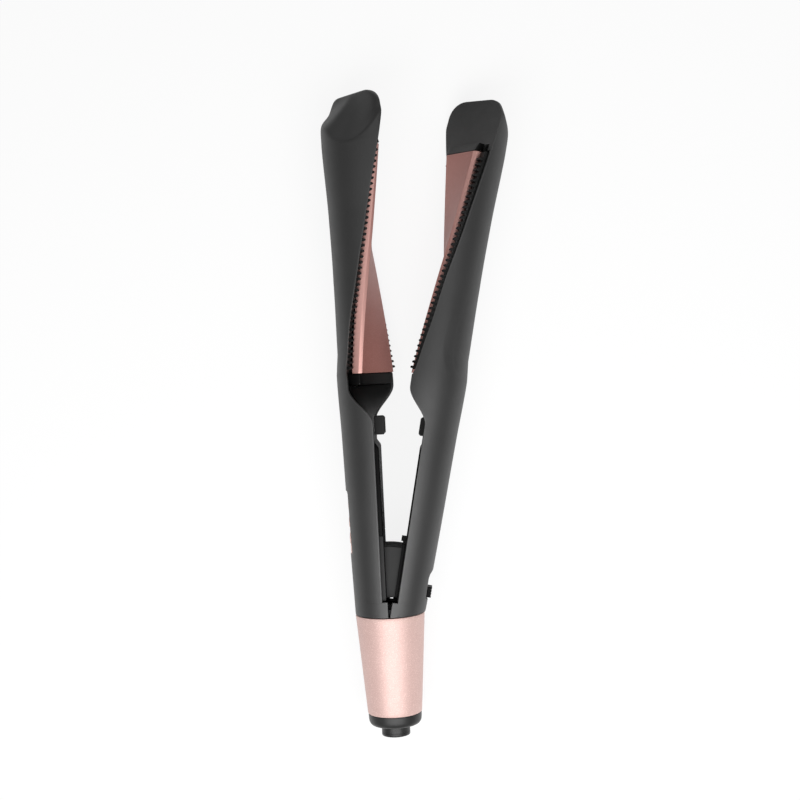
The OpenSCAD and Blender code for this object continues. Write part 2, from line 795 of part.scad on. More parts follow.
module swivel_collar() {
    foot = -tail_length - cap_height;
    color(graphite) stand() difference() {
        union() {
            along(collar_radius, foot - collar_length, foot - 0.1);
            along(collar_radius - 1, foot - 0.2, -tail_length + 4.9);
            along(collar_radius + 0.8, -tail_length + 4.8, -tail_length + 6.4);
        }
        along(cord_radius, foot - collar_length - 1, foot - collar_length + cord_depth);
        along(1.8, foot - collar_length, 0);
    }
}

module contact_rings() {
    color([0.8, 0.65, 0.3]) stand() difference() {
        union() {
            along(4.2, -tail_length + 6.45, -tail_length + 9);
            along(4.7, -tail_length + 6.45, -tail_length + 7.2);
            along(4.7, -tail_length + 8.2, -tail_length + 9);
        }
        along(2.4, -tail_length, 0);
    }
}

left_outer_shell();
right_outer_shell();
left_inner_cover();
right_inner_cover();
left_cover_screws();
right_cover_screws();
left_guide_block();
right_guide_block();
left_carrier();
right_carrier();
left_near_comb();
left_far_comb();
right_near_comb();
right_far_comb();
left_heating_plate();
right_heating_plate();
left_heater();
right_heater();
left_stop_pads();
right_stop_pads();
left_heater_leads();
right_heater_leads();
hinge_web();
slot_frame();
left_frame();
right_frame();
hinge_pin();
opening_spring();
control_panel();
power_button();
minus_button();
plus_button();
indicator_lens();
switches();
control_board();
right_spine();
lock_slider();
tail_sleeve();
end_cap();
swivel_collar();
contact_rings();
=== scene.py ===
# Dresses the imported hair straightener: camera, light, fine meshes for the lofted pieces, and
# materials.
import math

import bmesh
import bpy
import numpy as np
from mathutils import Matrix, Vector


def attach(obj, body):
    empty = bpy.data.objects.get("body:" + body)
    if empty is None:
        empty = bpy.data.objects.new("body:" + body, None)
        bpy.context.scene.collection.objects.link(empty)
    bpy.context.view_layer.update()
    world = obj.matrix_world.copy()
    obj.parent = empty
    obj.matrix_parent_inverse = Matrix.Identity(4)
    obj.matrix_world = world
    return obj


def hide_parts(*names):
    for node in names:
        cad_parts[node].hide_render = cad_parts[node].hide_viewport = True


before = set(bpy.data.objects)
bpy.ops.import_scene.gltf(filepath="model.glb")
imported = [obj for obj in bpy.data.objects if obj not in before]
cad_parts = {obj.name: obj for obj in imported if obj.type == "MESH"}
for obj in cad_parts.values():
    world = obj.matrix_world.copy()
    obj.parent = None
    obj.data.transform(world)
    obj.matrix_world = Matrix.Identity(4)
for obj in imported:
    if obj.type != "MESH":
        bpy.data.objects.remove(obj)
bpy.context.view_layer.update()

# Sizes in millimetres and degrees. They are those of the part's source, apart from a few that were
# fitted to the photograph later, which give the part's own size beside them.
GRIP_LENGTH, PLATE_LENGTH, TIP_LENGTH = 110.0, 102.0, 24.8
PLATE_START = GRIP_LENGTH
PLATE_END = PLATE_START + PLATE_LENGTH
ARM_LENGTH = PLATE_END + TIP_LENGTH
OPEN_ANGLE = 11.4
ROOT_R, GRIP_R, SHOULDER_R, WAIST_R, CREST_R = 15.8, 17.1, 19.0, 18.15, 20.9
GRIP_WALL, BARREL_WALL = 1.8, 1.25
GRIP_SETBACK, BARREL_SETBACK = 2.75, 4.4
SHOULDER_GAP = 0.9  # 0.5 in the part
RING_HEIGHT, SEAM = 7.3, 0.3
TWIST_START, TWIST_RATE = 33.0, 0.585
STEP_END = PLATE_START - 6
TWIST_FROM = STEP_END - 16.5

# The dip beside the shoulder: its crease, its deepest place and its end.
DIP_START, DIP_LOW, DIP_END = 109.5, 119, 152
DIP_DEPTH = SHOULDER_R - 0.1 - WAIST_R

# Steps along the arm, each with its start and length.
THINNER = (86, 18)
GAP_OPENS, GAP_CLOSES = (106, 8), (130, 26)

# The scooped tip.
SCOOP_START = PLATE_END + 0.6
NOSE_START = SCOOP_START - 0.1
SCOOP_POWER = 1.22  # 1.13 in the part
TONGUE_WALL, TONGUE_DRAFT = 2.5, 0.5
INNER_CORNER = 14.5
OUTER_CORNER = 10.2  # 11 in the part
CREASE_BLEND = 5.0  # the tongue's corners come in over this length
TIP_ROUNDING = 0.9  # square in the part
TIP_DEPTH = 0.03  # square of the share of its depth that the end keeps
RIM_ROUNDING = 0.35

# Plates, carriers and combs.
PLATE_FLAT, PLATE_HEIGHT, PLATE_WALL, PLATE_FLOAT = 24.8, 4.8, 1.4, 0.8
PLATE_BEVEL = 1.2  # 1.6 in the part
PLATE_HALF = PLATE_FLAT / 2 + PLATE_BEVEL
PLATE_COUNTS = [3, 3, 24, 3, 3, 2, 3, 3, 12, 3, 3, 2]  # points on each side of its section
CARRIER_TOP = PLATE_HEIGHT + PLATE_FLOAT + 0.45
CARRIER_FOOT = CARRIER_TOP + 3.45
CARRIER_HALF, CARRIER_WIDE = 13.6, 15.3
BAR_HEIGHT, BAR_TOP, BAR_GAP = 4.9, 0.6, 0.3
BAR_LOW = PLATE_START - BAR_GAP - BAR_HEIGHT
POCKET_HALF, POCKET_END = 17.2, PLATE_END + 3.6
COMB_PITCH, COMB_GAP = 2.45, 0.1
TOOTH_SHARE, TOOTH_POWER = 0.5, 2.8
TOOTH_HEIGHT, COMB_RISE = 1.5, 1.5  # 1.6 and 0.8 in the part

# Inner covers, with the screws' places along them.
WEB_RADIUS = 31.5
COVER_WALL, SHELL_PLAY = 2.2, 0.15
COVER_START, COVER_END = WEB_RADIUS + 5.7, BAR_LOW - 0.5
BLOCK_START = TWIST_FROM - 5.5
SCREWS, SCREW_R, HEAD_R = (COVER_START + 8.8, BLOCK_START - 12), 1.0, 2.1

# Panel, keys and lock.
PANEL_START, PANEL_LENGTH, PANEL_WIDTH, PANEL_CORNER = 28.0, 29.0, 11.6, 1.8
PANEL_END = PANEL_START + PANEL_LENGTH
LENS_AT, LENS_R = 46.45, 0.8
POWER_R, KEY_R, KEY_RISE, KEY_PLAY = 3.2, 2.6, 0.5, 0.08
KNOB_LENGTH, LOCK_TRAVEL, LOCK_RECESS = 4.9, 4.0, 0.8
LOCK_START = RING_HEIGHT + 2.6
LOCK_END = LOCK_START + KNOB_LENGTH + LOCK_TRAVEL

# Tail.
TAIL, TAIL_END_R, TAIL_WALL, CAP = 45.4, 12.4, 1.6, 5.6
COLLAR, COLLAR_R, CORD_R, CORD_DEPTH, LEADS_R = 5.0, 6.5, 3.3, 9.0, 1.8

# From a closed arm's own frame to the part's.
SWING = math.radians(OPEN_ANGLE)
X_MID = (math.sin(SWING) * (ARM_LENGTH - 15) + CREST_R * (math.cos(SWING) - 1)) / 2
Y_MID = (ARM_LENGTH - TAIL - CAP - COLLAR) / 2
LIFT = CREST_R - 0.34

# Camera, fitted to the photograph's outlines: the point of the arms' frame in the middle of the
# picture, the distance in metres, and the focal length in pixels of the photograph.
VIEW_YAW, VIEW_PITCH, VIEW_ROLL = (math.radians(a) for a in (1.276, 1.0, -2.846))
VIEW_X, VIEW_Y = 9.302, 96.962
VIEW_DISTANCE = 0.576
FOCAL, PICTURE, SENSOR = 1261.2, 800, 36

back = Vector((math.sin(VIEW_YAW), 0, math.cos(VIEW_YAW)))
across = Vector((math.cos(VIEW_YAW), 0, -math.sin(VIEW_YAW)))
up = Vector((0, 1, 0))
view_back = back * math.cos(VIEW_PITCH) + up * math.sin(VIEW_PITCH)
view_up = up * math.cos(VIEW_PITCH) - back * math.sin(VIEW_PITCH)
cam_x = across * math.cos(VIEW_ROLL) + view_up * math.sin(VIEW_ROLL)
cam_y = view_up * math.cos(VIEW_ROLL) - across * math.sin(VIEW_ROLL)
cam_at = Vector((VIEW_X - X_MID, VIEW_Y - Y_MID, LIFT)) / 1000 + view_back * VIEW_DISTANCE
camera = bpy.data.objects.new("camera", bpy.data.cameras.new("camera"))
camera.data.sensor_width = SENSOR
camera.data.lens = FOCAL / PICTURE * SENSOR
camera.data.clip_start, camera.data.clip_end = 0.01, 20
bpy.context.scene.collection.objects.link(camera)
camera.matrix_world = Matrix(
    [[cam_x[i], cam_y[i], view_back[i], cam_at[i]] for i in range(3)] + [[0, 0, 0, 1]])
bpy.context.scene.camera = camera
bpy.context.scene.view_settings.view_transform = "Standard"


# The arm's shape. A place s runs along the arm from the hinge's end of the grip to the tip.
def smooth(t):
    t = np.clip(t, 0, 1)
    return t * t * (3 - 2 * t)


def mix(a, b, t):
    return a + (b - a) * t


def curve(pairs):
    """A smooth curve through (place, value) pairs that never overshoots them."""
    x, y = np.array(pairs, float).T
    h, d = np.diff(x), np.diff(y) / np.diff(x)
    m = np.concatenate([[d[0]], np.zeros(len(x) - 2), [d[-1]]])
    for i in range(1, len(x) - 1):
        if d[i - 1] * d[i] > 0:
            a, b = 2 * h[i] + h[i - 1], h[i] + 2 * h[i - 1]
            m[i] = (a + b) / (a / d[i - 1] + b / d[i])

    def at(v):
        v = np.clip(v, x[0], x[-1])
        i = np.clip(np.searchsorted(x, v) - 1, 0, len(x) - 2)
        t = (v - x[i]) / h[i]
        return ((1 + 2 * t) * (1 - t) ** 2 * y[i] + t * (1 - t) ** 2 * h[i] * m[i]
                + t * t * (3 - 2 * t) * y[i + 1] + t * t * (t - 1) * h[i] * m[i + 1])
    return at


def rise(s, step):
    """0 before a step and 1 after it, smooth between."""
    start, length = step
    return smooth((np.asarray(s, float) - start) / length)


sway = curve([(0, 0), (18, 1), (42, 0), (68, -2), (90, -2), (127, -1)])


def turn(s):
    """The twist, in degrees."""
    s = np.asarray(s, float)
    low = TWIST_START * smooth((s - TWIST_FROM) / (STEP_END - TWIST_FROM))
    high = TWIST_START - TWIST_RATE * (s - PLATE_START) + sway(s - PLATE_START)
    return np.where(s < PLATE_START, low, high)


def setback(s):
    """How far a shell's edges lie behind the parting plane."""
    return (mix(GRIP_SETBACK, BARREL_SETBACK, rise(s, THINNER))
            + SHOULDER_GAP * rise(s, GAP_OPENS) * (1 - rise(s, GAP_CLOSES)))


def wall(s):
    return mix(GRIP_WALL, BARREL_WALL, rise(s, THINNER))


barrel = curve([(0, ROOT_R), (42, GRIP_R), (84, mix(GRIP_R, SHOULDER_R, 0.55)),
                (DIP_START, SHOULDER_R), (DIP_LOW, SHOULDER_R - 0.1), (DIP_END, WAIST_R + 0.2),
                (180, mix(WAIST_R, CREST_R, 0.3)), (223, CREST_R), (240, CREST_R)])
dip_edge = curve([(DIP_START, 50), (116, 79), (126, 87), (DIP_END, 70)])


def dip(s):
    return np.interp(s, [DIP_START, DIP_LOW, DIP_END], [0, 1, 0])


def radius(s, b):
    """The barrel's radius at the angle b round it."""
    return barrel(s) - DIP_DEPTH * dip(s) * np.clip((dip_edge(s) - turn(s) + b) / 22, 0, 1)


def spot(u, v, s):
    """Points of a closed arm, from depth u, width v and place s."""
    t = np.radians(turn(s))
    x, z = u * np.cos(t) - v * np.sin(t), u * np.sin(t) + v * np.cos(t)
    return np.stack(np.broadcast_arrays(x, s, z), -1)


def placed(p, side):
    """Points in metres in the part's frame. They belong to the left arm, to the right arm drawn as
    a left one, or to the right arm where it is only swung open."""
    x, y, z = p[..., 0], p[..., 1], p[..., 2]
    if side == "right":
        x, z = -x, -z
    if side != "left":
        x, y = (x * math.cos(SWING) + y * math.sin(SWING),
                y * math.cos(SWING) - x * math.sin(SWING))
    return np.stack([x - X_MID, y - Y_MID, z + LIFT], -1) / 1000


def ray(b, c, r):
    """Length of the ray at angle b from the middle of the chord at depth c to a circle."""
    b = np.radians(b)
    return -c * np.cos(b) + np.sqrt(np.maximum(r * r - (c * np.sin(b)) ** 2, 0))


# Meshes. A ring is a closed row of points, and a list of rings makes a solid.
CORNER_STEPS = 3


def resampled(path, count, cut_start, cut_end):
    """count points along a path, without the given lengths at its two ends."""
    step = np.linalg.norm(np.diff(path, axis=0), axis=1)
    at = np.concatenate([[0], np.cumsum(step)])
    room = at[-1] * 0.45
    want = np.linspace(min(cut_start, room), at[-1] - min(cut_end, room), count)
    return np.stack([np.interp(want, at, path[:, k]) for k in range(3)], -1)


def rounded_ring(paths, counts, cuts):
    """Joins paths, each ending where the next one starts, and rounds the corners between them."""
    n = len(paths)
    parts = [resampled(p, counts[i], cuts[i], cuts[(i + 1) % n]) for i, p in enumerate(paths)]
    t = (np.arange(1, CORNER_STEPS) / CORNER_STEPS)[:, None]
    ring = []
    for i in range(n):
        ring.append(parts[i])
        a, b, c = parts[i][-1], paths[(i + 1) % n][0], parts[(i + 1) % n][0]
        ring.append((1 - t) ** 2 * a + 2 * t * (1 - t) * b + t * t * c)
    return np.concatenate(ring)


def box_ring(s, corners, cuts, counts=(10, 4, 10, 4)):
    """A section with straight sides and round corners, from its (u, v) corners."""
    corners = np.array(corners, float)
    paths = []
    for a, b in zip(corners, np.roll(corners, -1, axis=0)):
        q = a + (b - a) * np.linspace(0, 1, 16)[:, None]
        paths.append(spot(q[:, 0], q[:, 1], np.full(16, s)))
    return rounded_ring(paths, counts, cuts)


def grid_faces(rows, cols, closed=True):
    """Quads between rows of points, with a face over each end."""
    i, j = np.meshgrid(np.arange(rows - 1), np.arange(cols), indexing="ij")
    k = (j + 1) % cols
    quads = np.stack([i * cols + j, i * cols + k, (i + 1) * cols + k, (i + 1) * cols + j], -1)
    faces = quads.reshape(-1, 4).tolist()
    if closed:
        faces.append(list(range(cols))[::-1])
        faces.append([(rows - 1) * cols + c for c in range(cols)])
    return faces


def strip_ends(rows, cols):
    """End faces of hollow sections, whose first half of points lies opposite the second."""
    faces = []
    for base, flip in ((0, False), ((rows - 1) * cols, True)):
        for j in range(cols // 2 - 1):
            f = [base + j, base + j + 1, base + cols - 2 - j, base + cols - 1 - j]
            faces.append(f[::-1] if flip else f)
    return faces


def new_mesh(name, points, faces):
    """A mesh of points in metres, with doubles merged and its faces turned outwards."""
    mesh = bpy.data.meshes.new(name)
    mesh.from_pydata(np.asarray(points, float).reshape(-1, 3).tolist(), [], faces)
    work = bmesh.new()
    work.from_mesh(mesh)
    bmesh.ops.remove_doubles(work, verts=work.verts, dist=1e-7)
    bmesh.ops.dissolve_degenerate(work, edges=work.edges, dist=1e-8)
    bmesh.ops.recalc_face_normals(work, faces=work.faces)
    work.to_mesh(mesh)
    work.free()
    return mesh


def new_object(name, data):
    obj = bpy.data.objects.new(name, data)
    bpy.context.scene.collection.objects.link(obj)
    return obj


def shade(mesh, sharp):
    """Smooth shading, apart from edges above an angle in degrees."""
    mesh.shade_smooth()
    mesh.set_sharp_from_angle(angle=math.radians(sharp))


def piece(name, points, faces, material, body, nodes, slot, sharp):
    """One visible piece, which rides on a body and may stand in for CAD nodes."""
    mesh = new_mesh(name, points, faces)
    shade(mesh, sharp)
    obj = new_object(name, mesh)
    mesh.materials.append(material)
    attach(obj, body)
    if nodes:
        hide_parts(*nodes)
    return obj


def carve(obj, tools, sharp):
    """Cuts solids, given as (points, faces), out of a piece."""
    cutters = [new_object("tool", new_mesh("tool", points, faces)) for points, faces in tools]
    for cutter in cutters:
        step = obj.modifiers.new("cut", "BOOLEAN")
        step.operation, step.solver, step.object = "DIFFERENCE", "EXACT", cutter
    depsgraph = bpy.context.evaluated_depsgraph_get()
    mesh = bpy.data.meshes.new_from_object(obj.evaluated_get(depsgraph))
    obj.modifiers.clear()
    obj.data = mesh
    shade(mesh, sharp)
    for cutter in cutters:
        bpy.data.meshes.remove(cutter.data)


def mark(obj, name, values):
    """Stores a number for each point of a piece, for its material."""
    obj.data.attributes.new(name, "FLOAT", "POINT").data.foreach_set("value", np.ravel(values))


def loft(name, rings, side, material, body, nodes, slot, sharp):
    """A solid through rings in millimetres."""
    faces = grid_faces(len(rings), len(rings[0]))
    return piece(name, placed(np.array(rings), side), faces, material, body, nodes, slot, sharp)


def lathe(name, profile, material, body, nodes, slot, count, sharp=30):
    """Turns (radius, y) pairs, in millimetres, round the tail's axis."""
    a = np.linspace(0, 2 * math.pi, count, endpoint=False)
    rings = np.array([np.stack([r * np.cos(a), 0 * a + y, r * np.sin(a)], -1) for r, y in profile])
    last = (len(profile) - 1) * count
    faces = grid_faces(len(profile), count, closed=False)
    faces += [[last + j, last + (j + 1) % count, (j + 1) % count, j] for j in range(count)]
    return piece(name, placed(rings, "left"), faces, material, body, nodes, slot, sharp)


def rounded_box(y0, y1, half, r, steps=8):
    """Outline of a box with round corners, as (y, z) pairs."""
    a = np.radians(np.linspace(0, 90, steps))
    corners = [((y1 - r, half - r), 0), ((y0 + r, half - r), 90),
               ((y0 + r, r - half), 180), ((y1 - r, r - half), 270)]
    return np.array([(c[0] + r * math.cos(t + math.radians(q)),
                      c[1] + r * math.sin(t + math.radians(q))) for c, q in corners for t in a])


def disc(y, z, r, count=64):
    a = np.linspace(0, 2 * math.pi, count, endpoint=False)
    return np.stack([y + r * np.cos(a), z + r * np.sin(a)], -1)


def stack(levels, side="left"):
    """A solid from (x, outline) levels, each outline a list of (y, z) pairs."""
    rings = np.array([np.column_stack([np.full(len(o), x), o]) for x, o in levels])
    return placed(rings, side), grid_faces(*rings.shape[:2])


def prism(outline, x0, x1, side="left"):
    return stack([(x0, outline), (x1, outline)], side)


# Materials.
class Nodes:
    """Adds shader nodes to one material, or to the world, with few words."""

    def __init__(self, owner, shader="Principled BSDF"):
        owner.use_nodes = True
        self.owner = owner
        self.tree = owner.node_tree
        self.shader = self.tree.nodes[shader]

    def add(self, kind, **values):
        node = self.tree.nodes.new(kind)
        for key, value in values.items():
            setattr(node, key, value)
        return node

    def put(self, socket, value):
        if hasattr(value, "links"):
            self.tree.links.new(value, socket)
        else:
            socket.default_value = value

    def mark(self, name):
        return self.add("ShaderNodeAttribute", attribute_name=name).outputs["Fac"]

    def noise(self, scale, detail=3.0, roughness=0.5):
        node = self.add("ShaderNodeTexNoise")
        self.put(node.inputs["Vector"], self.add("ShaderNodeTexCoord").outputs["Object"])
        for key, value in (("Scale", scale), ("Detail", detail), ("Roughness", roughness)):
            self.put(node.inputs[key], value)
        return node.outputs["Fac"]

    def ramp(self, value, stops):
        """A colour between two stops, each a (place, colour) pair."""
        node = self.add("ShaderNodeValToRGB")
        self.put(node.inputs["Fac"], value)
        for element, (at, colour) in zip(node.color_ramp.elements, stops):
            element.position = at
            element.color = (*colour, 1)
        return node.outputs["Color"]

    def math(self, kind, a, b, clamp=False):
        node = self.add("ShaderNodeMath", operation=kind, use_clamp=clamp)
        self.put(node.inputs[0], a)
        self.put(node.inputs[1], b)
        return node.outputs[0]

    def span(self, value, low, high):
        node = self.add("ShaderNodeMapRange")
        self.put(node.inputs["Value"], value)
        self.put(node.inputs["To Min"], low)
        self.put(node.inputs["To Max"], high)
        return node.outputs["Result"]

    def blend(self, factor, a, b):
        """Colour socket a, turning into colour b as the factor rises to 1."""
        node = self.add("ShaderNodeMix", data_type="RGBA", blend_type="MIX")
        self.put(node.inputs[0], factor)
        self.put(node.inputs[6], a)
        self.put(node.inputs[7], (*b, 1))
        return node.outputs[2]

    def bump(self, height, strength, distance):
        node = self.add("ShaderNodeBump")
        self.put(node.inputs["Height"], height)
        self.put(node.inputs["Strength"], strength)
        self.put(node.inputs["Distance"], distance)
        self.put(self.shader.inputs["Normal"], node.outputs["Normal"])

    def finish(self, **values):
        for key, value in values.items():
            self.put(self.shader.inputs[key.replace("_", " ")], value)
        return self.owner


def material(name):
    return Nodes(bpy.data.materials.new(name))


def srgb(*values):
    """0 to 255 sRGB values as linear colour. One value stands for a grey."""
    out = []
    for v in values if len(values) == 3 else values * 3:
        v /= 255
        out.append(v / 12.92 if v <= 0.04045 else ((v + 0.055) / 1.055) ** 2.4)
    return tuple(out)


def soft_touch(name, dark, light, grain, rough, shine):
    """Matt moulded plastic with a fine grain, a painted highlight on its rims and painted shade on
    the tongue's inner side.
    """
    n = material(name)
    cloud = n.noise(38)
    fine = n.noise(grain, 2, 0.6)
    colour = n.ramp(cloud, [(0.3, srgb(dark)), (0.7, srgb(light))])
    colour = n.blend(n.span(fine, 0.0, 0.16), colour, srgb(light * 1.6))
    # Painted highlight: the rims are made paler than the rest of the shell.
    colour = n.blend(n.math("MULTIPLY", n.mark("rim"), 0.3), colour, srgb(light + 40))
    # Painted shade: the inner side of the tongue is made darker.
    colour = n.blend(n.math("MULTIPLY", n.mark("inner"), 0.9), colour, srgb(light * 0.3))
    n.bump(fine, 0.18, 0.00004)
    rough_map = n.span(n.noise(220), *rough)
    return n.finish(Base_Color=colour, Roughness=rough_map, Specular_IOR_Level=shine)


def coated(name, dark, colour, light, metal, rough, grain, bump):
    """Rose coating with fine flakes and a painted highlight that makes its rims paler."""
    n = material(name)
    flake = n.noise(grain, 1.5, 0.6)
    cloud = n.noise(24)
    tone = n.ramp(cloud, [(0.3, srgb(*dark)), (0.7, srgb(*colour))])
    flecks = n.ramp(flake, [(0.5, (0, 0, 0)), (0.72, (1, 1, 1))])
    tone = n.blend(flecks, tone, srgb(*light))
    # Painted highlight: the rims are made paler.
    highlight_tone = srgb(*(min(255, c + 70) for c in light))
    tone = n.blend(n.math("MULTIPLY", n.mark("rim"), 0.4), tone, highlight_tone)
    n.bump(flake, bump, 0.00003)
    return n.finish(Base_Color=tone, Roughness=n.span(n.noise(300), *rough), Metallic=metal)


def plain(name, colour, rough, metal=0.0, grain=900, bump=0.1):
    n = material(name)
    low = tuple(max(0, c - 8) for c in colour)
    tone = n.ramp(n.noise(60), [(0.3, srgb(*low)), (0.7, srgb(*colour))])
    fine = n.noise(grain)
    n.bump(fine, bump, 0.00003)
    rough_map = n.span(fine, rough * 0.85, rough * 1.15)
    return n.finish(Base_Color=tone, Roughness=rough_map, Metallic=metal)


shell_mat = soft_touch("shell_soft_touch", 30, 35, 2600, (0.44, 0.54), 0.66)
black_mat = soft_touch("black_plastic", 4, 6, 1800, (0.34, 0.46), 0.06)
bar_mat = soft_touch("bar_plastic", 9, 13, 1800, (0.3, 0.4), 0.16)
satin_mat = soft_touch("satin_black", 15, 20, 1800, (0.4, 0.5), 0.24)
dark_mat = soft_touch("dark_plastic", 29, 36, 2000, (0.36, 0.46), 0.3)
plate_mat = coated("plate_ceramic", (167, 111, 102), (175, 119, 110), (193, 137, 128),
                   metal=0.45, rough=(0.34, 0.42), grain=2600, bump=0.06)
rose_mat = coated("rose_lacquer", (196, 163, 156), (206, 173, 166), (232, 205, 198),
                  metal=0.25, rough=(0.48, 0.56), grain=3400, bump=0.1)
steel_mat = plain("blackened_steel", (52, 52, 54), 0.38, 0.9)
silicone_mat = plain("silicone", (176, 86, 62), 0.6)
ceramic_mat = plain("ceramic", (226, 222, 210), 0.5)
brass_mat = plain("brass", (204, 170, 96), 0.28, 1.0)
board_mat = plain("circuit_board", (34, 92, 54), 0.4)
fibre_mat = plain("glass_fibre", (214, 210, 198), 0.75, grain=3200, bump=0.5)
sign_mat = plain("sign_ink", (70, 58, 58), 0.5)
lens_mat = material("clear_lens").finish(
    Base_Color=(0.85, 0.93, 1, 1), Roughness=0.12, Transmission_Weight=0.6)

# Outer shells. The rays of a section run from the middle of its chord, and the scoop's crease has
# its own place on each. The first two shares of the crease are 0.18 and 0.43 in the part.
rays = np.linspace(-90, 90, 109)
crease_at = curve([(-90, 0.26), (-60, 0.47), (-29, 0.63), (-7, 0.7), (10, 0.85), (30, 0.96),
                   (50, 1), (63, 0.94), (70, 0.86), (80, 0.68), (90, 0.5)])
crease = ARM_LENGTH - (ARM_LENGTH - SCOOP_START) * crease_at(rays)


def edged_ring(out, into):
    """Joins the outside of a section, and its inside in reverse, with round rims."""
    paths = [out, np.stack([out[-1], into[0]]), into, np.stack([into[-1], out[0]])]
    return rounded_ring(paths, [len(rays), 4, len(rays), 4], [RIM_ROUNDING] * 4)


def shell_ring(s, c):
    """A hollow section at place s, with its edges at depth c."""
    rad = np.radians(rays)
    d, e = ray(rays, c, radius(s, rays)), ray(rays, c, radius(s, rays) - wall(s))
    return edged_ring(spot(-c - d * np.cos(rad), d * np.sin(rad), s),
                      spot(-c - e * np.cos(rad), e * np.sin(rad), s)[::-1])


def tongue_half(s, corner, draft):
    w = np.sqrt(barrel(s) ** 2 - BARREL_SETBACK ** 2) - draft
    past = np.maximum(0, s - ARM_LENGTH + corner)
    return w - corner + np.sqrt(np.maximum(corner ** 2 - past ** 2, 0))


def tip_ring(places):
    """A solid section of the tip, with a place along the arm for each ray."""
    c, rad = BARREL_SETBACK, np.radians(rays)
    left = np.maximum((ARM_LENGTH - places) / (ARM_LENGTH - crease), 0)
    scooped = np.where(places <= crease, 0, 1 - left ** SCOOP_POWER)
    full = ray(rays, c, radius(places, rays))
    thin = np.minimum(full, TONGUE_WALL / np.maximum(np.cos(rad), 0.01))
    d = mix(full, thin, scooped)
    draft = TONGUE_DRAFT * rise(places, (SCOOP_START, 12))
    half = np.where(rays > 0, tongue_half(places, INNER_CORNER, draft),
                    tongue_half(places, OUTER_CORNER, 0))
    room = half / np.maximum(np.abs(np.sin(rad)), 0.01)
    soft = (d ** -10 + room ** -10) ** -0.1
    d = mix(np.minimum(d, room), soft, smooth((places - crease) / CREASE_BLEND))
    u, v = -c - d * np.cos(rad), d * np.sin(rad)
    flat = mix(v[0] + 0.3, v[-1] - 0.3, (1 + np.sin(rad)) / 2)
    base = np.full_like(u, -c)
    t = np.clip((places - (ARM_LENGTH - TIP_ROUNDING)) / TIP_ROUNDING, 0, 1)
    u = base + (u - base) * np.sqrt(np.maximum(1 - t * t, TIP_DEPTH))
    return edged_ring(spot(u, v, places), spot(base, flat, places)[::-1])


def softened(tip, rounds=36):
    """Evens out the scoop's outer face, less and less towards its borders."""
    row, column = np.arange(len(tip)), np.arange(len(rays))
    along = smooth(np.minimum(row / 6, (row[-1] - row) / 10))
    across = smooth(np.minimum(column, column[::-1]) / 8)
    hold = 0.6 * (along[:, None] * across)[..., None]
    for _ in range(rounds):
        face = tip[:, :len(rays)]
        near = face.copy()
        near[1:-1, 1:-1] = (face[:-2, 1:-1] + face[2:, 1:-1]
                            + face[1:-1, :-2] + face[1:-1, 2:]) / 4
        tip[:, :len(rays)] = mix(face, near, hold)
    return tip


def pocket_tools(side):
    """The pockets beside the upper end of the plate."""
    tools = []
    inner = PLATE_HALF + 0.4
    for v0, v1 in ((inner, POCKET_HALF), (-POCKET_HALF, -inner)):
        low, high = -8, -BARREL_SETBACK + 0.4
        ring = spot(np.array([low, low, high, high]), np.array([v0, v1, v1, v0]),
                    np.full(4, NOSE_START))
        ends = [ring - (0, 0.2, 0), ring + (0, POCKET_END - NOSE_START, 0)]
        tools.append((placed(np.array(ends), side), grid_faces(2, 4)))
    return tools


def lock_tools():
    """The lock's recess, with its ramp, and the slot through its floor."""
    floor = ROOT_R - LOCK_RECESS
    cut = [(floor, LOCK_START - 0.4), (floor, LOCK_END + 0.4), (floor + 0.4, LOCK_END + 2.2),
           (floor + 2, LOCK_END + 4.8), (floor + 2, LOCK_START - 2)]
    rings = np.array([np.column_stack([cut, np.full(len(cut), z)]) for z in (-8.0, 8.0)])
    slot = rounded_box(LOCK_START + 0.8, LOCK_END - 0.8, 1.9, 1.0)
    return [(placed(rings, "swung"), grid_faces(2, len(cut))), prism(slot, 10, 20, "swung")]


